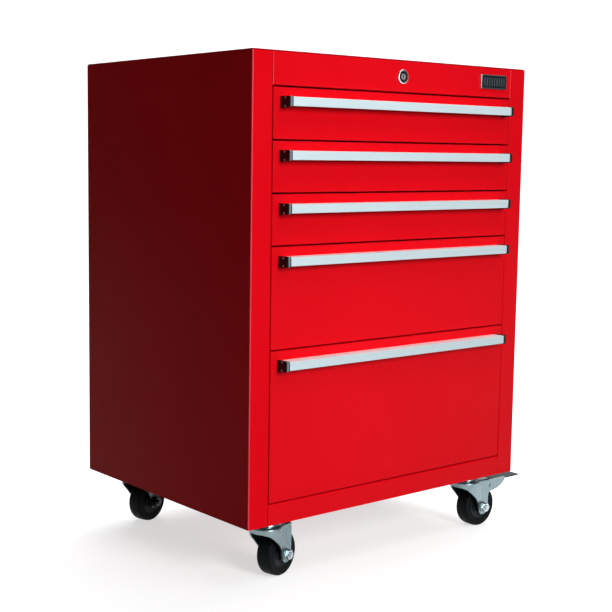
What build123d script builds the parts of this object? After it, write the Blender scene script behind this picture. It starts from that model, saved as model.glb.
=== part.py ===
"""Five-drawer steel tool cart on four swivel casters.

Units are millimetres and +Z is up.  The cart faces -Y.  The floor is z = 0.
The cabinet's plan centre is at (CX, CY), so that the centre of the whole
cart's bounding box is at the origin.
"""
from math import cos, sin, radians, sqrt
import os
from build123d import *

os.makedirs("parts", exist_ok=True)

# ------------------------------------------------------------ driving sizes
CX = -29.3                # cabinet centre, x
CY = 11.75                # cabinet centre, y
BODY_W = 615.0            # cabinet width
BODY_D = 471.4            # cabinet depth
BODY_H = 728.0            # cabinet height
CASTER_H = 103.5          # height of the cabinet's underside
T = 1.2                   # body sheet
TD = 1.0                  # drawer tray sheet
BEND = 1.25               # bend radius on a sheet's centre line

XL = CX - BODY_W / 2
XR = CX + BODY_W / 2
YF = CY - BODY_D / 2
YR = CY + BODY_D / 2
Z0 = CASTER_H
Z1 = CASTER_H + BODY_H

POST_W = 38.7             # front face of each corner post
POST_R = 26.0             # depth of the post's return
TOP_T = 1.5               # top sheet
TOP_GAP = 0.6             # shadow gap below the top sheet
WALL_TOP = Z1 - TOP_T - TOP_GAP
PAN_T = 1.5               # bottom pan sheet
OPEN_HW = BODY_W / 2 - POST_W      # half width of the drawer opening

# drawers, top to bottom: heights above the cabinet's underside
MODULE = 80.0
GAP_C = [675.0, 595.0, 515.0, 435.0, 275.0, 34.5]   # centres of the gaps
GAP = 2.5
FRONTS = [(Z0 + GAP_C[i + 1] + GAP / 2, Z0 + GAP_C[i] - GAP / 2)
          for i in range(5)]
FRONT_HW = 267.3          # half width of a drawer front
RET = 15.0                # depth of a drawer front's returns
TRAY_HW = 256.1           # half width of a tray, outside
TRAY_BACK = YR - 33.5     # rear face of a tray
TRAY_LIFT = 8.0           # tray floor above the front's lower edge
TRAY_DROP = 12.0          # tray rim below the front's upper edge

SLIDE_L = 400.0
SLIDE_Y0 = YF + 28.0
SLIDE_Z = 36.75           # slide centre above the front's lower edge

# handle profile, measured from the drawer front (p) and its upper edge
H_TOP = 14.6
H_STRIP = 14.0
H_P = 22.5
H_X0, H_X1 = -248.2, 247.4        # ends of the pull, from the centre
CAP_T = 6.0
CAP_P = 23.5

# casters
KX = 234.7                # kingpin offsets from the cabinet's centre
KY = 189.2
TRAIL = 28.5
WHEEL_R = 37.5
TREAD_W = 27.0
HUB_HL = 17.5             # half length of the hub
LEG_IN = 18.0             # inside face of a fork leg from the wheel's plane
SHEET = 2.5
AXLE_Z = WHEEL_R
PLATE_L, PLATE_W, PLATE_T = 90.0, 62.0, 3.0
HOLE_X, HOLE_Y = 70.0, 42.0
BOLT_ROOM = 16.0          # height kept clear of the bolts inside the cabinet
CASTERS = [               # name, x sign, y sign, trail direction, braked
    ("fl", -1, -1, 14.5, False),
    ("fr", 1, -1, -0.8, True),
    ("rl", -1, 1, 15.8, False),
    ("rr", 1, 1, 9.0, True),
]
CROWN_Z = CASTER_H - 15.0         # top of the fork's crown
CROWN_R = 27.0
PIVOT_S, PIVOT_Z = 48.0, 74.0     # brake pedal's cross pin
PEDAL_TOP = 83.0
PEDAL_END = 130.979

# lock
LX = CX + 2.0
LZ = Z0 + 700.8
BAR_DROP = 11.3           # how far the lock bar moves when it locks
TILT = 45.0               # crank pin above level when unlocked
CRANK = 8.0

# ------------------------------------------------------------- the cabinet
for side, sx in (("left", -1), ("right", 1)):
    xo = CX + sx * (BODY_W / 2 - T / 2)
    xi = CX + sx * (OPEN_HW + T / 2)
    with BuildPart() as side_panel:
        with BuildSketch(Plane.XY.offset(Z0)):
            with BuildLine():
                FilletPolyline((xi, YR - T / 2), (xo, YR - T / 2),
                               (xo, YF + T / 2), (xi, YF + T / 2),
                               (xi, YF + POST_R), radius=BEND)
            trace(line_width=T)
        extrude(amount=WALL_TOP - Z0)
        # the post's return is notched around a caster bolt
        with Locations((xi, YF + 13, Z0)):
            Box(6, 20, 2 * BOLT_ROOM,
                align=(Align.CENTER, Align.MIN, Align.CENTER),
                mode=Mode.SUBTRACT)
    side_panel.part.label = "side_panel_" + side
    export_step(side_panel.part, "parts/side_panel_" + side + ".step")

with BuildPart() as top_panel:
    with BuildSketch(Plane.XY.offset(Z1 - TOP_T)):
        with Locations((CX, CY)):
            RectangleRounded(BODY_W, BODY_D, 1.7)
    extrude(amount=TOP_T)
    fillet(top_panel.faces().sort_by(Axis.Z)[-1].edges(), radius=1.1)
    with BuildSketch(Plane.XY.offset(Z1 - 19)):
        with Locations((CX, CY)):
            RectangleRounded(BODY_W - 2 * T, BODY_D - 4 * T, 2.5)
            RectangleRounded(BODY_W - 4 * T, BODY_D - 6 * T, 1.3,
                             mode=Mode.SUBTRACT)
    extrude(amount=19 - TOP_T)
    # the skirt is notched where the corner posts' returns and the back
    # flanges stand
    with Locations((CX, CY, Z1 - 19)):
        with GridLocations(2 * (OPEN_HW + T / 2), 0, 2, 1):
            Box(T + 3.2, BODY_D - 2 * T, 19 - TOP_T,
                align=(Align.CENTER, Align.CENTER, Align.MIN),
                mode=Mode.SUBTRACT)
    # and around the nut of the lock
    with Locations((LX, YF + 3 * T, Z1 - 19)):
        Box(36, 4 * T, 14, align=(Align.CENTER, Align.CENTER, Align.MIN),
            mode=Mode.SUBTRACT)
top_panel.part.label = "top_panel"
export_step(top_panel.part, "parts/top_panel.step")

# back sheet with the two brackets that guide the lock bar
BACK_Y = YR - T
with BuildPart() as back_panel:
    with BuildSketch(Plane.XY.offset(Z0 + PAN_T)):
        with Locations((CX, BACK_Y - T / 2)):
            Rectangle(BODY_W - 2 * T - 5.0, T)
    extrude(amount=WALL_TOP - Z0 - PAN_T)
    for zg in (Z0 + 120, Z0 + 608):
        with BuildSketch(Plane.XY.offset(zg)):
            with BuildLine():
                FilletPolyline((LX - 28, BACK_Y - T - 0.75),
                               (LX - 14, BACK_Y - T - 0.75),
                               (LX - 14, YR - 33.5 + 3.0),
                               (LX + 14, YR - 33.5 + 3.0),
                               (LX + 14, BACK_Y - T - 0.75),
                               (LX + 28, BACK_Y - T - 0.75), radius=1.6)
            trace(line_width=1.5)
        extrude(amount=22)
back_panel.part.label = "back_panel"
export_step(back_panel.part, "parts/back_panel.step")

# bottom pan: floor with upturned edges, four caster mounting hole groups
with BuildPart() as bottom_pan:
    with BuildSketch(Plane.XY.offset(Z0)):
        with Locations((CX, CY)):
            Rectangle(BODY_W - 2 * T, BODY_D - 4 * T)
    extrude(amount=22)
    fillet(bottom_pan.edges().filter_by(Axis.Z), radius=2.5)
    with BuildSketch(Plane.XY.offset(Z0 + PAN_T)):
        with Locations((CX, CY)):
            Rectangle(BODY_W - 2 * T - 2 * PAN_T, BODY_D - 4 * T - 2 * PAN_T)
    extrude(amount=22, mode=Mode.SUBTRACT)
    with Locations((CX, YF + 6, Z0)):
        with GridLocations(2 * (OPEN_HW + T / 2), 0, 2, 1):
            Box(T + 3.2, 16, 50, mode=Mode.SUBTRACT)
    for name, sx, sy, ang, braked in CASTERS:
        with BuildSketch(Plane.XY.offset(Z0)):
            with Locations((CX + sx * KX, CY + sy * KY)):
                with GridLocations(HOLE_X, HOLE_Y, 2, 2):
                    Circle(4.4)
        extrude(amount=PAN_T, mode=Mode.SUBTRACT)
bottom_pan.part.label = "bottom_pan"
export_step(bottom_pan.part, "parts/bottom_pan.step")

# rail below the lowest drawer: front face, top return and end tabs
RAIL_TOP = Z0 + GAP_C[5] - GAP / 2
with BuildPart() as bottom_rail:
    with BuildSketch(Plane.YZ.offset(CX - OPEN_HW + 0.15)):
        with BuildLine():
            FilletPolyline((YF + T / 2, Z0), (YF + T / 2, RAIL_TOP - T / 2),
                           (YF + 25, RAIL_TOP - T / 2),
                           (YF + 25, RAIL_TOP - 11), radius=1.8)
        trace(line_width=T)
    extrude(amount=2 * OPEN_HW - 0.3)
bottom_rail.part.label = "bottom_rail"
export_step(bottom_rail.part, "parts/bottom_rail.step")

# fixed lock fascia above the top drawer
FAS_BOT = Z0 + GAP_C[0] + GAP / 2
with BuildPart() as lock_fascia:
    with BuildSketch(Plane.YZ.offset(CX - OPEN_HW + 0.15)):
        with BuildLine():
            FilletPolyline((YF + T / 2, WALL_TOP), (YF + T / 2, FAS_BOT + T / 2),
                           (YF + 25, FAS_BOT + T / 2),
                           (YF + 25, FAS_BOT + 9), radius=1.8)
        trace(line_width=T)
    extrude(amount=2 * OPEN_HW - 0.3)
    with BuildSketch(Plane.XZ.offset(-YF + 1)):
        with Locations((LX, LZ)):
            Circle(9.6)
    extrude(amount=-6, mode=Mode.SUBTRACT)
lock_fascia.part.label = "lock_fascia"
export_step(lock_fascia.part, "parts/lock_fascia.step")

# four hat-section uprights that carry the slides
with BuildPart() as slide_uprights:
    for sx in (-1, 1):
        for y0 in (YF + POST_R + 2, YR - 45):
            web = CX + sx * (OPEN_HW + 0.75)
            wall = CX + sx * (BODY_W / 2 - T)
            with BuildSketch(Plane.XY.offset(Z0 + BOLT_ROOM)):
                with BuildLine():
                    FilletPolyline((wall - sx * PAN_T, y0),
                                   (web, y0), (web, y0 + 32),
                                   (wall - sx * PAN_T, y0 + 32), radius=2.2)
                trace(line_width=1.5)
            extrude(amount=Z1 - 24 - Z0 - BOLT_ROOM)
slide_uprights.part.label = "slide_uprights"
export_step(slide_uprights.part, "parts/slide_uprights.step")

# fixed members of the ball-bearing slides: C channels screwed to the uprights
with BuildPart() as slide_outer_rails:
    for zb, zt in FRONTS:
        zs = zb + SLIDE_Z
        for sx in (-1, 1):
            xw = CX + sx * (OPEN_HW - 0.6)
            xe = CX + sx * (OPEN_HW - 9.0)
            with BuildSketch(Plane.XZ.offset(-SLIDE_Y0)):
                with BuildLine():
                    FilletPolyline((xe, zs + 16.9), (xw, zs + 16.9),
                                   (xw, zs - 16.9), (xe, zs - 16.9),
                                   radius=2.4)
                trace(line_width=1.2)
            extrude(amount=-SLIDE_L)
slide_outer_rails.part.label = "slide_outer_rails"
export_step(slide_outer_rails.part, "parts/slide_outer_rails.step")

# blank plate at the right end of the fascia
with BuildPart() as name_plate:
    with BuildSketch(Plane.XZ.offset(-YF)):
        with Locations((CX + 221.6, Z0 + 702.3)):
            RectangleRounded(65.4, 24, 2.0)
    extrude(amount=3.8)
    chamfer(name_plate.faces().sort_by(Axis.Y)[0].edges(), length=0.6)
    with BuildSketch(Plane.XZ.offset(-YF + 3.8)):
        with Locations((CX + 221.6, Z0 + 702.3)):
            RectangleRounded(62.0, 20.6, 1.0)
    extrude(amount=-0.6, mode=Mode.SUBTRACT)
name_plate.part.label = "name_plate"
export_step(name_plate.part, "parts/name_plate.step")

# lock housing: bezel ring, threaded barrel and the nut that clamps it
with BuildPart() as lock_housing:
    with BuildSketch(Plane.XZ.offset(-YF)):
        with Locations((LX, LZ)):
            Circle(11.8)
    extrude(amount=3.2)
    fillet(lock_housing.faces().sort_by(Axis.Y)[0].edges(), radius=1.8)
    with BuildSketch(Plane.XZ.offset(-YF)):
        with Locations((LX, LZ)):
            Circle(9.5)
    extrude(amount=-21.0)
    with BuildSketch(Plane.XZ.offset(-YF + 3.2)):
        with Locations((LX, LZ)):
            Circle(8.6)
    extrude(amount=-1.6, mode=Mode.SUBTRACT)
    with BuildSketch(Plane.XZ.offset(-YF + 3.2)):
        with Locations((LX, LZ)):
            Circle(6.55)
    extrude(amount=-40, mode=Mode.SUBTRACT)
    with BuildSketch(Plane.XZ.offset(-YF - T)):
        with Locations((LX, LZ)):
            RegularPolygon(14.0, 6, major_radius=True)
            Circle(9.5, mode=Mode.SUBTRACT)
    extrude(amount=-4.5)
lock_housing.part.label = "lock_housing"
export_step(lock_housing.part, "parts/lock_housing.step")

# rotating plug with a keyway
with BuildPart() as lock_plug:
    with BuildSketch(Plane.XZ.offset(-YF + 2.0)):
        with Locations((LX, LZ)):
            Circle(6.5)
    extrude(amount=-26.0)
    fillet(lock_plug.faces().sort_by(Axis.Y)[0].edges(), radius=0.5)
    with BuildSketch(Plane.XZ.offset(-YF + 2.0)):
        with Locations((LX, LZ)):
            Rectangle(1.5, 8.0)
            with Locations((0.7, 1.2)):
                Rectangle(1.6, 2.0)
    extrude(amount=-14.0, mode=Mode.SUBTRACT)
lock_plug.part.label = "lock_plug"
export_step(lock_plug.part, "parts/lock_plug.step")

# crank plate on the plug's tail, with the pin that drives the lock bar
CAM_Y = YF + 24.0
PINX = LX + CRANK * cos(radians(TILT))
PINZ = LZ + CRANK * sin(radians(TILT))
with BuildPart() as lock_cam:
    with BuildSketch(Plane.XZ.offset(-CAM_Y)):
        with Locations((LX, LZ)):
            Circle(7.5)
        with Locations((PINX, PINZ)):
            Circle(5.0)
        with Locations(((LX + PINX) / 2, (LZ + PINZ) / 2)):
            Rectangle(CRANK, 10.0, rotation=TILT)
    extrude(amount=-2.0)
    with BuildSketch(Plane.XZ.offset(-CAM_Y - 2.0)):
        with Locations((PINX, PINZ)):
            Circle(2.0)
    extrude(amount=-6.0)
    with BuildSketch(Plane.XZ.offset(-CAM_Y - 2.0)):
        with Locations((LX, LZ)):
            RegularPolygon(4.4, 6, major_radius=True)
    extrude(amount=-1.8)
lock_cam.part.label = "lock_cam"
export_step(lock_cam.part, "parts/lock_cam.step")

# lock bar: slotted yoke, long flat rod to the back, upright bar with hooks
YOKE_Y = CAM_Y + 5.0
ROD_Z = LZ - 14.5
BAR_Y = YR - 25.5
BAR_Z0 = FRONTS[4][0] + 120
with BuildPart() as lock_bar:
    with BuildSketch(Plane.XZ.offset(-YOKE_Y)):
        with Locations((LX + 5.0, LZ - 1.0)):
            RectangleRounded(24, 30, 3)
        with Locations((LX + 7.0, PINZ)):
            Rectangle(15, 5.0, mode=Mode.SUBTRACT)
    extrude(amount=-1.5)
    with Locations((LX, (YOKE_Y + BAR_Y + 2) / 2, ROD_Z)):
        Box(12, BAR_Y + 2 - YOKE_Y, 3)
    with BuildSketch(Plane.XZ.offset(-BAR_Y)):
        with Locations((LX, BAR_Z0)):
            Rectangle(20, ROD_Z + 6 - BAR_Z0, align=(Align.CENTER, Align.MIN))
    extrude(amount=-2.0)
    for zb, zt in FRONTS:
        rim = zt - TRAY_DROP
        with Locations((LX, BAR_Y + 1, rim + 14)):
            Box(14, 17, 2, align=(Align.CENTER, Align.MAX, Align.CENTER))
        with Locations((LX, BAR_Y - 16, rim + 3)):
            Box(14, 2, 12, align=(Align.CENTER, Align.MIN, Align.MIN))
lock_bar.part.label = "lock_bar"
export_step(lock_bar.part, "parts/lock_bar.step")

# ------------------------------------------------------------- the drawers
for n, (zb, zt) in enumerate(FRONTS, start=1):
    dn = "drawer%d_" % n
    floor_z = zb + TRAY_LIFT
    rim = zt - TRAY_DROP
    zs = zb + SLIDE_Z
    # folded front with returns, welded to an open tray
    with BuildPart() as drawer_box:
        with BuildSketch(Plane.XZ.offset(-YF)):
            with Locations((CX, (zb + zt) / 2)):
                Rectangle(2 * FRONT_HW, zt - zb)
        extrude(amount=-RET)
        fillet(drawer_box.edges().filter_by(Axis.Y), radius=1.0)
        fillet(drawer_box.faces().sort_by(Axis.Y)[0].edges(), radius=0.9)
        with BuildSketch(Plane.XZ.offset(-YF - T)):
            with Locations((CX, (zb + zt) / 2)):
                Rectangle(2 * FRONT_HW - 2 * T, zt - zb - 2 * T)
        extrude(amount=-RET, mode=Mode.SUBTRACT)
        with BuildSketch(Plane.XY.offset(floor_z)):
            with Locations((CX, YF + T)):
                Rectangle(2 * TRAY_HW, TRAY_BACK - YF - T,
                          align=(Align.CENTER, Align.MIN))
        extrude(amount=rim - floor_z)
        with BuildSketch(Plane.XY.offset(floor_z + TD)):
            with Locations((CX, YF + RET - TD)):
                Rectangle(2 * TRAY_HW - 2 * TD, TRAY_BACK - YF - RET,
                          align=(Align.CENTER, Align.MIN))
        extrude(amount=zt, mode=Mode.SUBTRACT)
        # hollow between the outer front and the tray's inner front
        with Locations((CX, YF + T, floor_z + TD)):
            Box(2 * TRAY_HW - 2 * TD, RET - 2 * T - 1.0, rim - floor_z - TD,
                align=(Align.CENTER, Align.MIN, Align.MIN),
                mode=Mode.SUBTRACT)
        # folded hems along the tray's rim
        with Locations((CX, YF + RET, rim - TD)):
            with GridLocations(2 * (TRAY_HW - 4.0), 0, 2, 1):
                Box(8.0, TRAY_BACK - YF - RET, TD,
                    align=(Align.CENTER, Align.MIN, Align.MIN))
        with Locations((CX, YF + RET - TD, rim - TD)):
            Box(2 * TRAY_HW, 8.0, TD,
                align=(Align.CENTER, Align.MIN, Align.MIN))
    drawer_box.part.label = dn + "box"
    export_step(drawer_box.part, "parts/" + dn + "box.step")

    # extruded pull: back flange, top flange and a hanging front strip
    ht = zt - H_TOP
    with BuildPart() as handle:
        with BuildSketch(Plane.YZ.offset(CX + H_X0)):
            with BuildLine():
                Polyline((YF, ht), (YF - H_P + 4.6, ht),
                         (YF - H_P + 4.3, ht - 1.5), (YF - H_P + 3.1, ht - 1.5),
                         (YF - H_P + 2.8, ht), (YF - H_P + 1.2, ht),
                         (YF - H_P + 0.5, ht - 0.3), (YF - H_P, ht - 1.2),
                         (YF - H_P, ht - H_STRIP + 1.6),
                         (YF - H_P + 0.6, ht - H_STRIP + 0.4),
                         (YF - H_P + 1.8, ht - H_STRIP),
                         (YF - H_P + 3.0, ht - H_STRIP + 0.6),
                         (YF - H_P + 3.4, ht - H_STRIP + 1.6),
                         (YF - H_P + 2.4, ht - 5.6),
                         (YF - H_P + 3.4, ht - 3.2), (YF - H_P + 5.8, ht - 2.4),
                         (YF - 4.5, ht - 2.0), (YF - 2.6, ht - 2.8),
                         (YF - 1.8, ht - 4.6), (YF - 1.8, ht - 11.6),
                         (YF, ht - 11.6), close=True)
            make_face()
        extrude(amount=H_X1 - H_X0)
    handle.part.label = dn + "handle"
    export_step(handle.part, "parts/" + dn + "handle.step")

    # moulded end caps with recesses for their screws
    with BuildPart() as end_caps:
        for sx, x0 in ((-1, CX + H_X0 - CAP_T), (1, CX + H_X1)):
            with BuildSketch(Plane.YZ.offset(x0)):
                with BuildLine():
                    Polyline((YF, ht + 1.0), (YF - CAP_P + 2.4, ht + 1.0),
                             (YF - CAP_P + 0.9, ht + 0.5),
                             (YF - CAP_P, ht - 0.8),
                             (YF - CAP_P, ht - H_STRIP + 0.9),
                             (YF - CAP_P + 0.6, ht - H_STRIP - 0.5),
                             (YF - CAP_P + 2.2, ht - H_STRIP - 1.1),
                             (YF - 3.2, ht - H_STRIP - 2.4),
                             (YF, ht - H_STRIP - 2.4), close=True)
                make_face()
            extrude(amount=CAP_T)
            outer = x0 if sx < 0 else x0 + CAP_T
            # the outer front edge is bevelled
            with BuildSketch(Plane.XY.offset(ht - 30)):
                with BuildLine():
                    Polyline((outer, YF - CAP_P + 1.1),
                             (outer - sx * 1.1, YF - CAP_P),
                             (outer - sx * 1.1, YF - CAP_P - 1),
                             (outer + sx, YF - CAP_P - 1),
                             (outer + sx, YF - CAP_P + 1.1), close=True)
                make_face()
            extrude(amount=40, mode=Mode.SUBTRACT)
            for zz in (ht - 1.4, ht - 13.7):
                with BuildSketch(Plane.YZ.offset(outer)):
                    with Locations((YF - 11.0, zz)):
                        Circle(1.8)
                extrude(amount=-1.0 * sx, mode=Mode.SUBTRACT)
    end_caps.part.label = dn + "end_caps"
    export_step(end_caps.part, "parts/" + dn + "end_caps.step")

    with BuildPart() as slide_inner:
        for sx in (-1, 1):
            xw = CX + sx * (TRAY_HW + 0.6)
            xe = CX + sx * (TRAY_HW + 8.0)
            with BuildSketch(Plane.XZ.offset(-SLIDE_Y0)):
                with BuildLine():
                    FilletPolyline((xe, zs + 9.4), (xw, zs + 9.4),
                                   (xw, zs - 9.4), (xe, zs - 9.4), radius=1.8)
                trace(line_width=1.2)
            extrude(amount=-SLIDE_L)
    slide_inner.part.label = dn + "slide_inner"
    export_step(slide_inner.part, "parts/" + dn + "slide_inner.step")

    with BuildPart() as slide_middle:
        for sx in (-1, 1):
            xw = CX + sx * (OPEN_HW - 2.3)
            xe = CX + sx * (OPEN_HW - 8.4)
            with BuildSketch(Plane.XZ.offset(-SLIDE_Y0)):
                with BuildLine():
                    FilletPolyline((xe, zs + 13.6), (xw, zs + 13.6),
                                   (xw, zs - 13.6), (xe, zs - 13.6),
                                   radius=1.8)
                trace(line_width=1.2)
            extrude(amount=-SLIDE_L)
    slide_middle.part.label = dn + "slide_middle"
    export_step(slide_middle.part, "parts/" + dn + "slide_middle.step")

# ------------------------------------------------------------- the casters
# plates with a pressed upper race and four slotted holes
with BuildPart() as caster_plates:
    for name, sx, sy, ang, braked in CASTERS:
        kx, ky = CX + sx * KX, CY + sy * KY
        with BuildSketch(Plane.XY.offset(Z0 - PLATE_T)):
            with Locations((kx, ky)):
                RectangleRounded(PLATE_L, PLATE_W, 6)
                with GridLocations(HOLE_X, HOLE_Y, 2, 2):
                    SlotOverall(14.0, 8.8, mode=Mode.SUBTRACT)
        extrude(amount=PLATE_T)
        with Locations((kx, ky, Z0 - PLATE_T)):
            Cone(24.5, 21.5, 8.6,
                 align=(Align.CENTER, Align.CENTER, Align.MAX),
                 rotation=(0, 0, 0))
        with BuildSketch(Plane.XY.offset(Z0)):
            with Locations((kx, ky)):
                Circle(6.0)
        extrude(amount=-20, mode=Mode.SUBTRACT)
        with BuildSketch(Plane.XY.offset(Z0 - PLATE_T - 8.6)):
            with Locations((kx, ky)):
                Circle(20.0)
                Circle(9.0, mode=Mode.SUBTRACT)
        extrude(amount=5.0, mode=Mode.SUBTRACT)
caster_plates.part.label = "caster_plates"
export_step(caster_plates.part, "parts/caster_plates.step")

with BuildPart() as kingpins:
    for name, sx, sy, ang, braked in CASTERS:
        kx, ky = CX + sx * KX, CY + sy * KY
        with BuildSketch(Plane.XY.offset(CASTER_H - 21.8)):
            with Locations((kx, ky)):
                Circle(6.0)
        extrude(amount=21.8)
        with BuildSketch(Plane.XY.offset(CASTER_H - 21.8)):
            with Locations((kx, ky)):
                Circle(10.5)
        extrude(amount=3.9)
    fillet(kingpins.faces().filter_by(Axis.Z).group_by(Axis.Z)[0].edges(),
           radius=2.0)
kingpins.part.label = "caster_kingpins"
export_step(kingpins.part, "parts/caster_kingpins.step")

with BuildPart() as fasteners:
    for name, sx, sy, ang, braked in CASTERS:
        kx, ky = CX + sx * KX, CY + sy * KY
        with Locations((kx, ky, Z0 - PLATE_T)):
            with GridLocations(HOLE_X, HOLE_Y, 2, 2):
                Cylinder(4.0, 17.0,
                         align=(Align.CENTER, Align.CENTER, Align.MIN))
        with BuildSketch(Plane.XY.offset(Z0 - PLATE_T)):
            with Locations((kx, ky)):
                with GridLocations(HOLE_X, HOLE_Y, 2, 2):
                    RegularPolygon(7.4, 6, major_radius=True)
        extrude(amount=-4.6)
        with BuildSketch(Plane.XY.offset(Z0 + PAN_T)):
            with Locations((kx, ky)):
                with GridLocations(HOLE_X, HOLE_Y, 2, 2):
                    Circle(8.0)
        extrude(amount=1.2)
        with BuildSketch(Plane.XY.offset(Z0 + PAN_T + 1.2)):
            with Locations((kx, ky)):
                with GridLocations(HOLE_X, HOLE_Y, 2, 2):
                    RegularPolygon(7.4, 6, major_radius=True)
        extrude(amount=6.0)
fasteners.part.label = "caster_plate_fasteners"
export_step(fasteners.part, "parts/caster_plate_fasteners.step")

for name, sx, sy, ang, braked in CASTERS:
    kx, ky = CX + sx * KX, CY + sy * KY
    c, s = cos(radians(ang)), sin(radians(ang))
    BASE = Plane(origin=(kx, ky, 0), x_dir=(c, s, 0), z_dir=(0, 0, 1))
    SIDE = Plane(origin=(kx, ky, 0), x_dir=(c, s, 0), z_dir=(s, -c, 0))
    tail = 86.5 if braked else 42.0
    out = LEG_IN + SHEET

    # fork: one pressed shell, round at the kingpin and straight at the wheel
    with BuildPart() as fork:
        with BuildSketch(BASE.offset(20.0)):
            Circle(CROWN_R)
            with BuildLine():
                Polyline((0, -CROWN_R), (22, -out), (tail, -out),
                         (tail, out), (22, out), (0, CROWN_R), close=True)
            make_face()
        extrude(amount=CROWN_Z - 20.0)
        fillet(fork.faces().sort_by(Axis.Z)[-1].edges(), radius=3.0)
        # hollow it out; the rear stays open
        with BuildSketch(BASE.offset(20.0)):
            Circle(CROWN_R - SHEET)
            with BuildLine():
                Polyline((0, -CROWN_R + SHEET), (22, -LEG_IN),
                         (tail + 5, -LEG_IN), (tail + 5, LEG_IN),
                         (22, LEG_IN), (0, CROWN_R - SHEET), close=True)
            make_face()
        extrude(amount=CROWN_Z - SHEET - 20.0, mode=Mode.SUBTRACT)
        # side view: everything outside this outline is trimmed away
        with BuildSketch(SIDE.offset(40)):
            with BuildLine():
                if braked:
                    Polyline((-40, 110), (-40, 80.0), (-24, 79.0), (-16, 75.5),
                             (2.5, 58), (12.0, 45), (15.0, 37), (16.0, 32),
                             (20, 26.5), (25.5, 23.8), (31.5, 23.8),
                             (37, 26.5), (40, 31.5), (41, 37.5), (41.5, 57),
                             (43.2, 62.0), (46.0, 64.2), (49.9, 65.2),
                             (57.5, 65.8), (65.5, 67.6), (72.5, 70.4),
                             (78.5, 73.9), (83.5, 78.4), (86.5, 82.6),
                             (86.5, 110), close=True)
                else:
                    Polyline((-40, 110), (-40, 80.0), (-24, 79.0), (-16, 75.5),
                             (2.5, 58), (12.0, 45), (15.0, 37), (16.0, 32),
                             (20, 26.5), (25.5, 23.8), (31.5, 23.8),
                             (37, 26.5), (40, 31.5), (41, 37.5), (42, 62),
                             (42, 110), close=True)
            make_face()
        extrude(amount=-80, mode=Mode.INTERSECT)
        if braked:
            # the pedal's well: no crown behind the raceway
            with BuildSketch(BASE.offset(70)):
                with Locations((68, 0)):
                    Rectangle(50, 2 * LEG_IN)
            extrude(amount=40, mode=Mode.SUBTRACT)
            with BuildSketch(SIDE.offset(40)):
                with Locations((68, 95.5)):
                    Rectangle(50, 20)
            extrude(amount=-80, mode=Mode.SUBTRACT)
            for so in (-1, 1):
                with BuildSketch(SIDE.offset(so * out)):
                    with Locations((PIVOT_S, PIVOT_Z)):
                        Circle(3.4)
                extrude(amount=so * 1.2)
        # pressed bosses around the axle
        for so in (-1, 1):
            with BuildSketch(SIDE.offset(so * out)):
                with Locations((TRAIL, AXLE_Z)):
                    Circle(9.5)
            extrude(amount=so * 1.2)
        with BuildSketch(SIDE.offset(30)):
            with Locations((TRAIL, AXLE_Z)):
                Circle(4.05)
        extrude(amount=-60, mode=Mode.SUBTRACT)
        # kingpin hole and the raised seat of the lower race
        with BuildSketch(BASE.offset(CROWN_Z)):
            Circle(19.0)
        extrude(amount=0.9)
        with BuildSketch(BASE.offset(75)):
            Circle(6.06)
        extrude(amount=20, mode=Mode.SUBTRACT)
    fork.part.label = "fork_" + name
    export_step(fork.part, "parts/fork_" + name + ".step")

    with BuildPart() as axle:
        with BuildSketch(SIDE.offset(LEG_IN)):
            with Locations((TRAIL, AXLE_Z)):
                Circle(6.0)
        extrude(amount=-2 * LEG_IN)
        with BuildSketch(SIDE.offset(out + 11.0)):
            with Locations((TRAIL, AXLE_Z)):
                Circle(4.0)
        extrude(amount=-(2 * out + 11.0 + 1.2))
        with BuildSketch(SIDE.offset(out + 1.2)):
            with Locations((TRAIL, AXLE_Z)):
                Circle(8.8)
        extrude(amount=1.2)
        with BuildSketch(SIDE.offset(out + 2.4)):
            with Locations((TRAIL, AXLE_Z)):
                RegularPolygon(8.5, 6, major_radius=True)
        extrude(amount=5.6)
        with BuildSketch(SIDE.offset(-out - 1.2)):
            with Locations((TRAIL, AXLE_Z)):
                RegularPolygon(8.5, 6, major_radius=True)
        extrude(amount=-5.0)
    axle.part.label = "axle_" + name
    export_step(axle.part, "parts/axle_" + name + ".step")

    # wheel: tyre and hub turned about the axle
    AX = Plane(origin=(kx + TRAIL * c, ky + TRAIL * s, AXLE_Z),
               x_dir=(c, s, 0), z_dir=(s, -c, 0))
    HALF = Plane(origin=AX.origin, x_dir=(s, -c, 0), z_dir=(c, s, 0))
    SPIN = Axis(AX.origin, (s, -c, 0))
    hw = TREAD_W / 2
    with BuildPart() as tyre:
        with BuildSketch(HALF):
            with BuildLine():
                Polyline((-hw + 1.4, 24.0), (-hw + 0.4, 24.4), (-hw + 0.1, 25.2),
                         (-hw + 0.1, 26.6), (-hw + 0.7, 27.3), (-hw + 0.4, 29.6),
                         (-hw, 32.0), (-hw + 0.3, 34.2), (-hw + 1.3, 35.8),
                         (-hw + 3.2, 36.9), (-hw + 6.0, 37.35), (0, WHEEL_R),
                         (hw - 6.0, 37.35), (hw - 3.2, 36.9),
                         (hw - 1.3, 35.8), (hw - 0.3, 34.2), (hw, 32.0),
                         (hw - 0.4, 29.6), (hw - 0.7, 27.3), (hw - 0.1, 26.6),
                         (hw - 0.1, 25.2), (hw - 0.4, 24.4), (hw - 1.4, 24.0),
                         close=True)
            make_face()
        revolve(axis=SPIN, revolution_arc=360)
    tyre.part.label = "tyre_" + name
    export_step(tyre.part, "parts/tyre_" + name + ".step")

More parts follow.
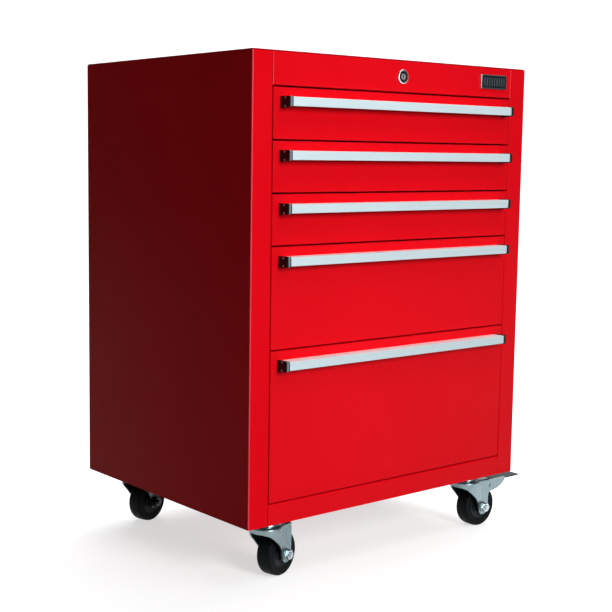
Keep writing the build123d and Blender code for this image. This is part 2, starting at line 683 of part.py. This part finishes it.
    with BuildPart() as hub:
        with BuildSketch(HALF):
            with BuildLine():
                Polyline((-HUB_HL, 6.06), (-HUB_HL, 9.0), (-HUB_HL + 0.8, 10.0),
                         (-11.0, 11.2), (-9.4, 12.6), (-9.4, 15.4),
                         (-10.6, 15.9), (-10.6, 18.2), (-11.6, 18.7),
                         (-11.6, 21.2), (-12.6, 21.8), (-12.6, 23.2),
                         (-12.0, 24.0), (12.0, 24.0), (12.6, 23.2),
                         (12.6, 21.8), (11.6, 21.2), (11.6, 18.7),
                         (10.6, 18.2), (10.6, 15.9), (9.4, 15.4),
                         (9.4, 12.6), (11.0, 11.2),
                         (HUB_HL - 0.8, 10.0), (HUB_HL, 9.0),
                         (HUB_HL, 6.06), close=True)
            make_face()
        revolve(axis=SPIN, revolution_arc=360)
    hub.part.label = "hub_" + name
    export_step(hub.part, "parts/hub_" + name + ".step")

    if braked:
        # stamped pedal with a hanging shoe, on a cross pin
        with BuildPart() as pedal:
            with BuildSketch(BASE.offset(PEDAL_TOP - 2.0)):
                with BuildLine():
                    Polyline((46, -16.5), (86, -16.5), (91, -15.5),
                             (PEDAL_END - 2.5, -15.5), (PEDAL_END - 0.8, -14.8),
                             (PEDAL_END, -13.0), (PEDAL_END, 13.0),
                             (PEDAL_END - 0.8, 14.8), (PEDAL_END - 2.5, 15.5),
                             (91, 15.5), (86, 16.5), (46, 16.5), close=True)
                make_face()
            extrude(amount=2.0)
            for so in (-1, 1):
                with BuildSketch(SIDE.offset(so * 16.5)):
                    with BuildLine():
                        Polyline((44, PEDAL_TOP), (44, 73.6), (45.5, 71.9),
                                 (50.5, 71.5), (53.5, 73.4), (60, 78.0),
                                 (86, 79.6), (86, PEDAL_TOP), close=True)
                    make_face()
                extrude(amount=-so * 2.0)
            # shoe
            with BuildSketch(SIDE.offset(10)):
                with BuildLine():
                    Polyline((59.5, PEDAL_TOP - 1.0), (59.5, 72.0), (60.5, 66.0),
                             (62.4, 62.0), (66.5, 60.2), (67.8, 61.8),
                             (64.5, 66.0), (63.5, 72.0),
                             (63.5, PEDAL_TOP - 1.0), close=True)
                make_face()
            extrude(amount=-20)
            # cross pin, held in the side flanges
            with BuildSketch(SIDE.offset(LEG_IN - 0.2)):
                with Locations((PIVOT_S, PIVOT_Z)):
                    Circle(2.5)
            extrude(amount=-2 * LEG_IN + 0.4)
        pedal.part.label = "brake_pedal_" + name
        export_step(pedal.part, "parts/brake_pedal_" + name + ".step")
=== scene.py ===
import math
import random

import bmesh
import bpy
from mathutils import Matrix, Vector


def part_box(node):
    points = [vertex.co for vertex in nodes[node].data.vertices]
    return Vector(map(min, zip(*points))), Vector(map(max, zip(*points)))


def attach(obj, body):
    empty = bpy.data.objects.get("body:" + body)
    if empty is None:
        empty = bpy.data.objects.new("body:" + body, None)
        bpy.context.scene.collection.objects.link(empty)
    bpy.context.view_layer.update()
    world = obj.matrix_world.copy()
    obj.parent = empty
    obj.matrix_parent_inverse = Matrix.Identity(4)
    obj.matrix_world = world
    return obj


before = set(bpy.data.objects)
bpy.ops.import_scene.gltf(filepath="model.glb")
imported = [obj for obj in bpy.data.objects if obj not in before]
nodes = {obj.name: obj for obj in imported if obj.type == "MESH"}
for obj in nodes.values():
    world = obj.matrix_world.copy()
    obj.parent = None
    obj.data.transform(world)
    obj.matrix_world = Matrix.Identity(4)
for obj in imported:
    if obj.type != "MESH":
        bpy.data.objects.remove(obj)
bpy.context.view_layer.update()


scene = bpy.context.scene

# cabinet centre in the frame, from the bodies of the side panels
lo_l, hi_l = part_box("side_panel_left")
lo_r, hi_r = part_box("side_panel_right")
CX = (lo_l.x + hi_r.x) / 2
CY = (lo_l.y + hi_l.y) / 2
YF = lo_l.y


# ---------------------------------------------------------------- materials
class Mat:
    """A node material with short helpers."""

    def __init__(self, name):
        self.m = bpy.data.materials.new(name)
        self.m.use_nodes = True
        self.t = self.m.node_tree
        self.t.nodes.clear()
        self.out = self.n("ShaderNodeOutputMaterial")
        self.b = self.n("ShaderNodeBsdfPrincipled")
        self.l(self.b.outputs[0], self.out.inputs["Surface"])
        tc = self.n("ShaderNodeTexCoord")
        self.co = tc.outputs["Object"]

    def n(self, kind, **kw):
        x = self.t.nodes.new(kind)
        for k, v in kw.items():
            setattr(x, k, v)
        return x

    def l(self, a, b):
        self.t.links.new(a, b)

    def scaled(self, sx, sy, sz):
        mp = self.n("ShaderNodeMapping")
        mp.inputs["Scale"].default_value = (sx, sy, sz)
        self.l(self.co, mp.inputs["Vector"])
        return mp.outputs["Vector"]

    def noise(self, scale, detail=3.0, rough=0.5, vec=None, distortion=0.0):
        x = self.n("ShaderNodeTexNoise")
        x.inputs["Scale"].default_value = scale
        x.inputs["Detail"].default_value = detail
        x.inputs["Roughness"].default_value = rough
        x.inputs["Distortion"].default_value = distortion
        self.l(vec if vec is not None else self.co, x.inputs["Vector"])
        return x.outputs["Fac"]

    def ramp(self, fac, stops):
        r = self.n("ShaderNodeValToRGB")
        el = r.color_ramp.elements
        while len(el) < len(stops):
            el.new(0.5)
        for e, (p, c) in zip(el, stops):
            e.position = p
            e.color = (*c, 1.0) if len(c) == 3 else c
        self.l(fac, r.inputs["Fac"])
        return r.outputs["Color"]

    def remap(self, fac, a, b, lo=0.3, hi=0.7):
        r = self.n("ShaderNodeMapRange")
        r.inputs["From Min"].default_value = lo
        r.inputs["From Max"].default_value = hi
        r.inputs["To Min"].default_value = a
        r.inputs["To Max"].default_value = b
        self.l(fac, r.inputs["Value"])
        return r.outputs["Result"]

    def mix(self, fac, a, b, blend="MIX"):
        x = self.n("ShaderNodeMix", data_type="RGBA", blend_type=blend)
        ins = x.inputs
        for sock, v in ((ins[6], a), (ins[7], b)):
            if isinstance(v, tuple):
                sock.default_value = (*v, 1.0)
            else:
                self.l(v, sock)
        if isinstance(fac, float):
            ins[0].default_value = fac
        else:
            self.l(fac, ins[0])
        return x.outputs[2]

    def bump(self, height, strength, distance, normal=None):
        x = self.n("ShaderNodeBump")
        x.inputs["Strength"].default_value = strength
        x.inputs["Distance"].default_value = distance
        self.l(height, x.inputs["Height"])
        if normal is not None:
            self.l(normal, x.inputs["Normal"])
        return x.outputs["Normal"]

    def set(self, **kw):
        for k, v in kw.items():
            sock = self.b.inputs[k.replace("_", " ")]
            if isinstance(v, (int, float)):
                sock.default_value = v
            elif isinstance(v, tuple):
                sock.default_value = (*v, 1.0) if len(v) == 3 else v
            else:
                self.l(v, sock)


def axes_of(m):
    """The three coordinates in the row frame, at rest."""
    sep = m.n("ShaderNodeSeparateXYZ")
    m.l(m.co, sep.inputs[0])
    return sep.outputs[0], sep.outputs[1], sep.outputs[2]


def math_node(m, op, a, b=None):
    x = m.n("ShaderNodeMath", operation=op)
    for i, v in enumerate((a, b)):
        if v is None:
            continue
        if isinstance(v, (int, float)):
            x.inputs[i].default_value = v
        else:
            m.l(v, x.inputs[i])
    return x.outputs[0]


def red_paint(name, highlight_corner=None, coat=0.02, spec=0.07, seam_highlights=(), shaded_side=False):
    """Gloss powder coat: slow tone changes, orange peel, fine specks.

    corner is (x, sign) of an outer vertical edge that gets a painted highlight."""
    m = Mat(name)
    x, y, z = axes_of(m)
    cloud = m.noise(3.2, 4.0, 0.55)
    col = m.ramp(cloud, [(0.35, (0.745, 0.0026, 0.0088)),
                         (0.65, (0.705, 0.0020, 0.0076))])
    # painted light falloff: the paint is made brighter towards the bottom and darker towards the top and the
    # right, standing in for how the lamps fall on the front
    painted_light_falloff = m.remap(z, 1.06, 0.945, 0.10, 0.80)
    painted_light_falloff = math_node(m, "MULTIPLY", painted_light_falloff, m.remap(x, 1.0, 0.93, CX - 0.10, CX + 0.31))
    # painted shade: the left panel's side face, behind the front post, is darkened, more towards the bottom,
    # standing in for the shade on that side
    if shaded_side:
        side_shade = m.remap(z, 0.70, 0.82, 0.10, 0.80)
        onto = m.remap(y, 0.0, 1.0, YF + 0.002, YF + 0.004)
        side_shade = math_node(m, "SUBTRACT", 1.0, math_node(
            m, "MULTIPLY", onto, math_node(m, "SUBTRACT", 1.0, side_shade)))
        painted_light_falloff = math_node(m, "MULTIPLY", painted_light_falloff, side_shade)
    tone = m.n("ShaderNodeCombineColor")
    m.l(painted_light_falloff, tone.inputs[0])
    m.l(painted_light_falloff, tone.inputs[1])
    m.l(painted_light_falloff, tone.inputs[2])
    col = m.mix(1.0, col, tone.outputs[0], blend="MULTIPLY")
    # painted shade: a dark line along the top fold, standing in for the shade on its rounded edge
    low = m.remap(z, 0.0, 0.62, 0.8292, 0.8300)
    high = m.remap(z, 1.0, 0.0, 0.8311, 0.8314)
    col = m.mix(math_node(m, "MULTIPLY", low, high), col, (0.16, 0.004, 0.008))
    fine = m.noise(2600.0, 1.0, 0.5)
    col = m.mix(m.remap(fine, 0.0, 0.05), col, (0.80, 0.012, 0.022))
    scuff = m.noise(38.0, 6.0, 0.7, distortion=1.2)
    col = m.mix(m.remap(scuff, 0.0, 0.05, 0.60, 0.75), col, (0.60, 0.010, 0.018))
    # painted highlight: a lighter strip along the rounded outer vertical edge, broken up by noise, standing in
    # for light caught on the bend
    if highlight_corner:
        cx, sg = highlight_corner
        dx = math_node(m, "MULTIPLY", math_node(m, "SUBTRACT", x, cx), float(-sg))
        d = math_node(m, "ADD", dx, math_node(m, "SUBTRACT", y, YF))
        highlight_break = m.noise(30.0, 3.0, 0.6)
        highlight_mask = m.remap(d, 1.0, 0.0, 0.0012, 0.0018)
        highlight_mask = math_node(m, "MULTIPLY", highlight_mask, m.remap(highlight_break, 0.75, 1.0))
        col = m.mix(highlight_mask, col, (0.98, 0.085, 0.12))
    # painted highlight: lighter lines at the given x positions, standing in for light caught on the rounded edges
    # there
    for sx in seam_highlights:
        d = math_node(m, "ABSOLUTE", math_node(m, "SUBTRACT", x, sx))
        col = m.mix(m.remap(d, 0.75, 0.0, 0.0007, 0.0013), col, (0.92, 0.075, 0.11))
    peel = m.noise(620.0, 2.0, 0.45)
    wav = m.noise(9.0, 2.0, 0.4)
    n1 = m.bump(wav, 0.22, 0.0010)
    n2 = m.bump(peel, 0.12, 0.00012, n1)
    smear = m.noise(14.0, 5.0, 0.6, distortion=0.6)
    m.set(Base_Color=col, Roughness=m.remap(smear, 0.28, 0.38), Normal=n2,
          Coat_Weight=coat, Coat_Roughness=0.12, Coat_Normal=n2,
          Specular_IOR_Level=spec, Specular_Tint=(1.0, 0.35, 0.40))
    return m.m


def zinc(name, dark=False, in_shade=False):
    m = Mat(name)
    a, b, c = ((0.185, 0.270, 0.295), (0.250, 0.340, 0.360), (0.215, 0.275, 0.285))
    # painted shade: the two darker copies below stand in for the shade on the rear casters and on the brake pedal
    if in_shade:
        a, b, c = ((0.012, 0.018, 0.020), (0.022, 0.030, 0.033), (0.016, 0.022, 0.024))
    if dark:
        a, b, c = ((0.018, 0.029, 0.030), (0.028, 0.041, 0.042), (0.022, 0.032, 0.032))
    patch = m.noise(55.0, 4.0, 0.6, distortion=0.8)
    col = m.ramp(patch, [(0.32, a), (0.52, b), (0.70, c)])
    spang = m.n("ShaderNodeTexVoronoi", feature="F1")
    spang.inputs["Scale"].default_value = 420.0
    m.l(m.co, spang.inputs["Vector"])
    tone = m.remap(spang.outputs["Distance"], 0.0, 0.10, 0.2, 0.8)
    col = m.mix(tone, col, (0.03, 0.04, 0.042) if dark else (0.008, 0.010, 0.011) if in_shade else (0.12, 0.16, 0.17))
    press = m.noise(900.0, 3.0, 0.6)
    soft = m.noise(60.0, 2.0, 0.5)
    n1 = m.bump(soft, 0.25, 0.0006)
    n2 = m.bump(press, 0.20, 0.00008, n1)
    m.set(Base_Color=col, Metallic=0.10 if dark else 0.95,
          Roughness=m.remap(patch, 0.48, 0.60) if dark else m.remap(patch, 0.24, 0.36),
          Normal=n2, Specular_IOR_Level=0.05 if dark else (0.2 if in_shade else 0.4))
    return m.m


def bright_zinc(name, tone=1.0, metal=1.0):
    m = Mat(name)
    patch = m.noise(160.0, 3.0, 0.6)
    lo_c = tuple(v * tone for v in (0.58, 0.68, 0.71))
    hi_c = tuple(v * tone for v in (0.70, 0.77, 0.79))
    col = m.ramp(patch, [(0.35, lo_c), (0.65, hi_c)])
    fine = m.noise(1500.0, 2.0, 0.6)
    m.set(Base_Color=col, Metallic=metal, Roughness=m.remap(patch, 0.20, 0.30),
          Normal=m.bump(fine, 0.12, 0.00005))
    return m.m


def aluminium(name):
    m = Mat(name)
    streak = m.noise(1.0, 4.0, 0.65, vec=m.scaled(6.0, 2200.0, 2200.0))
    cloud = m.noise(14.0, 3.0, 0.5)
    col = m.ramp(streak, [(0.30, (0.57, 0.70, 0.745)), (0.70, (0.63, 0.76, 0.80))])
    col = m.mix(m.remap(cloud, 0.0, 0.25), col, (0.55, 0.685, 0.73))
    x, y, z = axes_of(m)
    # painted light falloff: the pulls are made brighter towards the top and the left, standing in for how the
    # lamps fall on them
    painted_light_falloff = m.remap(z, 0.94, 1.10, 0.36, 0.76)
    painted_light_falloff = math_node(m, "MULTIPLY", painted_light_falloff, m.remap(x, 1.02, 0.95, CX - 0.25, CX + 0.25))
    tone = m.n("ShaderNodeCombineColor")
    for i in range(3):
        m.l(painted_light_falloff, tone.inputs[i])
    col = m.mix(1.0, col, tone.outputs[0], blend="MULTIPLY")
    # painted light: upward faces are made whiter and less metallic, standing in for the overhead light on the
    # pulls' top flanges
    tc = m.n("ShaderNodeTexCoord")
    sep = m.n("ShaderNodeSeparateXYZ")
    m.l(tc.outputs["Normal"], sep.inputs[0])
    painted_top_light = m.remap(sep.outputs[2], 0.0, 1.0, 0.60, 0.90)
    col = m.mix(painted_top_light, col, (0.94, 0.96, 0.97))
    m.set(Base_Color=col, Metallic=m.remap(painted_top_light, 0.25, 0.0, 0.0, 1.0), Roughness=m.remap(streak, 0.36, 0.50),
          Normal=m.bump(streak, 0.10, 0.00006), Specular_IOR_Level=0.4)
    return m.m


def black_plastic(name, tone=(0.012, 0.014, 0.016), rough=0.42, grain=1100.0,
                  painted_left_highlight=False):
    m = Mat(name)
    g = m.noise(grain, 2.0, 0.5)
    cloud = m.noise(40.0, 3.0, 0.5)
    hi = tuple(v * 1.7 for v in tone)
    col = m.ramp(cloud, [(0.35, tone), (0.70, hi)])
    if painted_left_highlight:
        # painted highlight: a grey strip on the left caps' rounded front edge, standing in for light caught there
        x, y, z = axes_of(m)
        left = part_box("drawer1_end_caps")[0].x
        cap_highlight_band = math_node(m, "MULTIPLY", m.remap(x, 0.0, 1.0, left + 0.0004, left + 0.0012),
                         m.remap(x, 1.0, 0.0, left + 0.0036, left + 0.0046))
        cap_highlight_band = math_node(m, "MULTIPLY", cap_highlight_band, m.remap(y, 1.0, 0.0, YF - 0.0216, YF - 0.0206))
        col = m.mix(cap_highlight_band, col, (0.19, 0.215, 0.24))
    m.set(Base_Color=col, Roughness=m.remap(cloud, rough - 0.05, rough + 0.07),
          Normal=m.bump(g, 0.22, 0.0001), Specular_IOR_Level=0.16)
    return m.m


def rubber(name):
    m = Mat(name)
    cloud = m.noise(70.0, 4.0, 0.6)
    dust = m.noise(420.0, 3.0, 0.65)
    col = m.ramp(cloud, [(0.35, (0.0016, 0.0024, 0.0029)),
                         (0.70, (0.0034, 0.0046, 0.0052))])
    col = m.mix(m.remap(dust, 0.0, 0.10, 0.45, 0.75), col, (0.011, 0.0125, 0.0132))
    g = m.noise(1700.0, 2.0, 0.5)
    m.set(Base_Color=col, Roughness=m.remap(cloud, 0.52, 0.66),
          Normal=m.bump(g, 0.25, 0.00012), Specular_IOR_Level=0.10)
    return m.m


def chrome(name, rough=0.10):
    m = Mat(name)
    cloud = m.noise(300.0, 3.0, 0.5)
    col = m.ramp(cloud, [(0.35, (0.80, 0.81, 0.82)), (0.65, (0.88, 0.88, 0.88))])
    m.set(Base_Color=col, Metallic=1.0, Roughness=m.remap(cloud, rough, rough + 0.07),
          Normal=m.bump(cloud, 0.03, 0.00005))
    return m.m


M_RED = red_paint("red_powder_coat")
M_ZINC = zinc("zinc_plate")
# painted shade: the pedal gets a darker, almost non-metallic zinc, standing in for the shade it sits in under the
# cabinet
M_ZINC_PEDAL_SHADE = zinc("zinc_plate_pedal", dark=True)
M_BOLT = bright_zinc("zinc_fastener")
M_NUT = bright_zinc("zinc_axle_nut", 0.78)
M_SCREW = bright_zinc("cap_screw_zinc", 1.15, 0.25)
# painted shade: darker copies of the axle nut zinc and the fork zinc for the rear casters, standing in for the
# shade under the cabinet
M_NUT_SHADE = bright_zinc("zinc_axle_nut_shaded", 0.10)
M_ZINC_SHADE = zinc("zinc_plate_shaded", in_shade=True)
M_ALU = aluminium("anodised_aluminium")
M_CAP = black_plastic("cap_plastic", (0.004, 0.0045, 0.005), painted_left_highlight=True)
M_HUB = black_plastic("hub_plastic", (0.0050, 0.0080, 0.0105), 0.34, 700.0)
M_TYRE = rubber("tyre_rubber")
M_CHROME = chrome("lock_chrome")



def badge(name):
    """Slate insert in a dark raised rim; the rim's left edge is bright metal, a painted highlight."""
    m = Mat(name)
    lo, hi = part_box("name_plate")
    cx, cz = (lo.x + hi.x) / 2, (lo.z + hi.z) / 2
    x, y, z = axes_of(m)
    dx = math_node(m, "ABSOLUTE", math_node(m, "SUBTRACT", x, cx))
    dz = math_node(m, "ABSOLUTE", math_node(m, "SUBTRACT", z, cz))
    dx = math_node(m, "DIVIDE", dx, 0.0309)
    dz = math_node(m, "DIVIDE", dz, 0.0102)
    rim = math_node(m, "GREATER_THAN", math_node(m, "MAXIMUM", dx, dz), 1.0)
    # painted highlight: only the rim's left edge is bright metal, standing in for the light it catches
    edge = math_node(m, "LESS_THAN", x, lo.x + 0.0016)
    brush = m.noise(1.0, 3.0, 0.6, vec=m.scaled(30.0, 2000.0, 2000.0))
    cloud = m.noise(60.0, 3.0, 0.5)
    slate = m.ramp(cloud, [(0.35, (0.006, 0.011, 0.015)), (0.7, (0.012, 0.018, 0.022))])
    # a row of upright ribs fills the insert
    wave = math_node(m, "SINE", math_node(m, "MULTIPLY", x, 2 * math.pi / 0.0062))
    rib = m.remap(wave, 0.0, 0.75, 0.10, 0.75)
    rib = math_node(m, "MULTIPLY", rib, m.remap(dz, 1.0, 0.0, 0.62, 0.74))
    rib = math_node(m, "MULTIPLY", rib, m.remap(dx, 1.0, 0.0, 0.86, 0.90))
    slate = m.mix(rib, slate, (0.085, 0.105, 0.115))
    metal = m.ramp(brush, [(0.3, (0.55, 0.58, 0.60)), (0.7, (0.72, 0.75, 0.77))])
    frame_col = m.mix(rim, slate, (0.045, 0.055, 0.058))
    m.set(Base_Color=m.mix(edge, frame_col, metal), Metallic=edge,
          Roughness=m.remap(cloud, 0.34, 0.44),
          Specular_IOR_Level=m.remap(edge, 0.10, 0.5, 0.0, 1.0),
          Normal=m.bump(brush, 0.08, 0.00005, m.bump(rib, 0.5, 0.0003)))
    return m.m


def lock_face(name):
    """Polished bezel; the annular recess round the plug is painted near-black, a painted shade."""
    m = Mat(name)
    lo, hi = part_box("lock_plug")
    cx, cz = (lo.x + hi.x) / 2, (lo.z + hi.z) / 2
    x, y, z = axes_of(m)
    dx = math_node(m, "SUBTRACT", x, cx)
    dz = math_node(m, "SUBTRACT", z, cz)
    rr = math_node(m, "SQRT", math_node(
        m, "ADD", math_node(m, "MULTIPLY", dx, dx), math_node(m, "MULTIPLY", dz, dz)))
    dark = m.remap(rr, 1.0, 0.0, 0.0084, 0.0088)
    cloud = m.noise(300.0, 3.0, 0.5)
    col = m.ramp(cloud, [(0.35, (0.78, 0.80, 0.81)), (0.65, (0.86, 0.87, 0.87))])
    m.set(Base_Color=m.mix(dark, col, (0.006, 0.008, 0.010)),
          Metallic=m.remap(dark, 1.0, 0.0, 0.0, 1.0),
          Specular_IOR_Level=m.remap(dark, 0.5, 0.04, 0.0, 1.0),
          Roughness=m.remap(cloud, 0.14, 0.22),
          Normal=m.bump(cloud, 0.03, 0.00005))
    return m.m


def plug_face(name):
    """Nickel core; its rim and keyway are painted near-black, a painted shade."""
    m = Mat(name)
    lo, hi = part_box("lock_plug")
    cx, cz = (lo.x + hi.x) / 2, (lo.z + hi.z) / 2
    x, y, z = axes_of(m)
    dx = math_node(m, "SUBTRACT", x, cx)
    dz = math_node(m, "SUBTRACT", z, cz)
    rr = math_node(m, "SQRT", math_node(
        m, "ADD", math_node(m, "MULTIPLY", dx, dx), math_node(m, "MULTIPLY", dz, dz)))
    rim = m.remap(rr, 0.0, 1.0, 0.0046, 0.0050)
    way = math_node(m, "MULTIPLY",
                    m.remap(math_node(m, "ABSOLUTE", dx), 1.0, 0.0, 0.0008, 0.0011),
                    m.remap(math_node(m, "ABSOLUTE", dz), 1.0, 0.0, 0.0030, 0.0034))
    dark = math_node(m, "MAXIMUM", rim, way)
    cloud = m.noise(300.0, 3.0, 0.5)
    col = m.ramp(cloud, [(0.35, (0.74, 0.77, 0.79)), (0.65, (0.84, 0.86, 0.87))])
    m.set(Base_Color=m.mix(dark, col, (0.006, 0.008, 0.010)),
          Metallic=m.remap(dark, 0.8, 0.0, 0.0, 1.0),
          Specular_IOR_Level=m.remap(dark, 0.5, 0.04, 0.0, 1.0),
          Roughness=m.remap(cloud, 0.22, 0.30),
          Normal=m.bump(cloud, 0.05, 0.00008))
    return m.m


M_PLUG = plug_face("lock_plug_nickel")
M_BADGE = badge("plate_finish")
M_LOCK = lock_face("lock_bezel")
XL, XR = lo_l.x, hi_r.x
M_RED_L = red_paint("red_powder_coat_left", highlight_corner=(XL, -1.0), coat=0.0,
                    spec=0.028, shaded_side=True)
M_RED_R = red_paint("red_powder_coat_right", highlight_corner=(XR, 1.0))
M_RAIL = bright_zinc("slide_zinc", 0.66)
f_lo, f_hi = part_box("lock_fascia")
M_RED_F = red_paint("red_powder_coat_fascia", seam_highlights=(f_lo.x, f_hi.x))


def dress(node, mat):
    ob = nodes[node]
    ob.data.materials.clear()
    ob.data.materials.append(mat)


for nm in nodes:
    if nm == "lock_fascia":
        dress(nm, M_RED_F)
    elif nm == "side_panel_left":
        dress(nm, M_RED_L)
    elif nm == "side_panel_right":
        dress(nm, M_RED_R)
    elif nm.startswith(("side_panel", "back_panel", "top_panel", "bottom_",
                      "lock_fascia")) or nm.endswith("_box"):
        dress(nm, M_RED)
    elif nm.startswith(("slide_", "lock_bar", "lock_cam")) or "_slide_" in nm:
        dress(nm, M_RAIL)
    elif nm.endswith("_handle"):
        dress(nm, M_ALU)
    elif nm.endswith("_end_caps"):
        dress(nm, M_CAP)
    elif nm.startswith("brake_pedal"):
        dress(nm, M_ZINC_PEDAL_SHADE)
    elif nm in ("fork_rl", "fork_rr"):
        dress(nm, M_ZINC_SHADE)
    elif nm in ("axle_rl", "axle_rr"):
        dress(nm, M_NUT_SHADE)
    elif nm.startswith("fork") or nm in ("caster_plates", "caster_kingpins"):
        dress(nm, M_ZINC)
    elif nm.startswith("axle") or nm == "caster_plate_fasteners":
        dress(nm, M_NUT)
    elif nm.startswith("tyre"):
        dress(nm, M_TYRE)
    elif nm.startswith("hub"):
        dress(nm, M_HUB)
    elif nm == "lock_housing":
        dress(nm, M_LOCK)
    elif nm == "lock_plug":
        dress(nm, M_PLUG)
    elif nm == "name_plate":
        dress(nm, M_BADGE)


# ------------------------------------------------------------ small pieces
def add_mesh(name, bm, mat, body):
    bmesh.ops.recalc_face_normals(bm, faces=bm.faces)
    me = bpy.data.meshes.new(name)
    bm.to_mesh(me)
    bm.free()
    me.materials.append(mat)
    for p in me.polygons:
        p.use_smooth = True
    ob = bpy.data.objects.new(name, me)
    scene.collection.objects.link(ob)
    md = ob.modifiers.new("edges", "EDGE_SPLIT")
    md.split_angle = math.radians(32)
    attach(ob, body)
    return ob


def screw_head(bm, at, sx):
    """Domed head with a crossed recess, facing along X."""
    seg = 24
    prof = [(1.72, -0.35), (1.72, 0.05), (1.62, 0.22), (1.38, 0.38), (1.05, 0.48),
            (0.70, 0.54)]
    rings = []
    for rad, h in prof:
        ring = []
        for k in range(seg):
            a = 2 * math.pi * k / seg
            ring.append(bm.verts.new((at[0] + sx * h / 1000,
                                      at[1] + rad * math.cos(a) / 1000,
                                      at[2] + rad * math.sin(a) / 1000)))
        rings.append(ring)
    # the recess: alternate points of the last ring lead into a deep cross
    inner = []
    for k in range(seg):
        a = 2 * math.pi * k / seg
        arm = abs(math.cos(2 * a)) > 0.80
        rad = 0.62 if arm else 0.26
        inner.append(bm.verts.new((at[0] + sx * 0.52 / 1000,
                                   at[1] + rad * math.cos(a) / 1000,
                                   at[2] + rad * math.sin(a) / 1000)))
    deep = []
    for k in range(seg):
        a = 2 * math.pi * k / seg
        arm = abs(math.cos(2 * a)) > 0.80
        rad = 0.40 if arm else 0.16
        deep.append(bm.verts.new((at[0] - sx * 0.15 / 1000,
                                  at[1] + rad * math.cos(a) / 1000,
                                  at[2] + rad * math.sin(a) / 1000)))
    rings += [inner, deep]
    for a, b in zip(rings, rings[1:]):
        for k in range(seg):
            bm.faces.new((a[k], a[(k + 1) % seg], b[(k + 1) % seg], b[k]))
    bm.faces.new(deep)
    bm.faces.new(list(reversed(rings[0])))


for n in range(1, 6):
    lo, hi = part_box("drawer%d_end_caps" % n)
    hlo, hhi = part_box("drawer%d_handle" % n)
    bm = bmesh.new()
    for sx, xf in ((-1, lo.x + 0.001), (1, hi.x - 0.001)):
        for dz in (0.0014, 0.0137):
            screw_head(bm, (xf + sx * 0.00035, YF - 0.011, hhi.z - dz), sx)
    add_mesh("cap_screws_%d" % n, bm, M_SCREW, "drawer_%d" % n)

# ------------------------------------------------------------ stage, lights
def area(name, loc, target, size, size_y, power, color=(1, 1, 1)):
    la = bpy.data.lights.new(name, "AREA")
    la.shape = "RECTANGLE"
    la.size = size
    la.size_y = size_y
    la.energy = power
    la.color = color
    ob = bpy.data.objects.new(name, la)
    scene.collection.objects.link(ob)
    ob.location = loc
    d = Vector(target) - Vector(loc)
    ob.rotation_euler = d.to_track_quat("-Z", "Y").to_euler()
    return ob


def cyclorama():
    bm = bmesh.new()
    prof = [(-9.0, 0.0), (4.2, 0.0)]
    for k in range(1, 13):
        a = math.radians(90 * k / 12)
        prof.append((4.2 + 1.6 * math.sin(a), 1.6 - 1.6 * math.cos(a)))
    prof.append((5.8, 9.0))
    # the sweep runs away from the camera, along its heading
    h = math.radians(38.6)
    fx, fy = math.sin(h), math.cos(h)
    rx, ry = math.cos(h), -math.sin(h)
    rows = []
    for s, z in prof:
        row = [bm.verts.new((CX + fx * s + rx * w, CY + fy * s + ry * w, z))
               for w in (-9.0, 9.0)]
        rows.append(row)
    for a, b in zip(rows, rows[1:]):
        bm.faces.new((a[0], a[1], b[1], b[0]))
    bmesh.ops.recalc_face_normals(bm, faces=bm.faces)
    me = bpy.data.meshes.new("studio_floor")
    bm.to_mesh(me)
    bm.free()
    for p in me.polygons:
        p.use_smooth = True
    ob = bpy.data.objects.new("studio_floor", me)
    scene.collection.objects.link(ob)
    m = Mat("studio_paper")
    g = m.noise(3.0, 3.0, 0.5)
    m.set(Base_Color=m.ramp(g, [(0.3, (0.56, 0.56, 0.56)), (0.7, (0.58, 0.58, 0.58))]),
          Roughness=m.remap(g, 0.85, 0.95), Emission_Strength=0.62,
          Emission_Color=(1.0, 1.0, 1.0), Specular_IOR_Level=0.0)
    me.materials.append(m.m)
    ob.visible_diffuse = False
    return ob


cyclorama()

world = bpy.data.worlds.new("studio")
scene.world = world
world.use_nodes = True
wt = world.node_tree
wt.nodes.clear()
wo = wt.nodes.new("ShaderNodeOutputWorld")
wb = wt.nodes.new("ShaderNodeBackground")
wb.inputs["Color"].default_value = (1.0, 1.0, 1.0, 1.0)
wb.inputs["Strength"].default_value = 0.092
wt.links.new(wb.outputs[0], wo.inputs[0])

# key: large softbox in front, a little to the right
area("key", (CX - 0.34, CY - 2.85, 1.30), (CX, CY - 0.2, 0.42), 1.1, 1.1, 68.5)
# soft overhead light in front, for the pulls' upper faces
area("over", (CX + 0.15, CY - 1.5, 2.7), (CX, CY - 0.25, 0.40), 1.4, 1.0, 16)
# overhead, set back, for the floor and the top
area("top", (CX + 1.6, CY + 1.6, 3.6), (CX + 0.6, CY + 0.9, 0.0), 4.0, 3.0, 190)
# backdrop wash
area("wash", (CX + 2.6, CY + 0.4, 3.4), (CX + 3.6, CY + 4.6, 1.2), 3.5, 2.0, 230)

# ------------------------------------------------------------------ camera
AZ, PITCH, ROLL = (math.radians(v) for v in (38.63879, 6.78052, 0.60838))
f = Vector((math.sin(AZ) * math.cos(PITCH), math.cos(AZ) * math.cos(PITCH),
            -math.sin(PITCH)))
r = Vector((math.cos(AZ), -math.sin(AZ), 0.0))
u = r.cross(f)
r2 = r * math.cos(ROLL) + u * math.sin(ROLL)
u2 = u * math.cos(ROLL) - r * math.sin(ROLL)
cam = bpy.data.cameras.new("camera")
cam.sensor_width = 36.0
cam.lens = 1227.119 / 612 * 36.0
cam.shift_x = (306 - 259.064) / 612
cam.shift_y = (303.166 - 306) / 612
cam.clip_start = 0.05
cam.clip_end = 60.0
cob = bpy.data.objects.new("camera", cam)
scene.collection.objects.link(cob)
rot = Matrix((r2, u2, -f)).transposed().to_4x4()
cob.matrix_world = Matrix.Translation(
    (CX - 1.43729, CY - 1.66973, 0.67234)) @ rot
scene.camera = cob

scene.view_settings.view_transform = "Standard"
scene.view_settings.look = "None"
scene.view_settings.exposure = 0.0

bpy.context.view_layer.update()
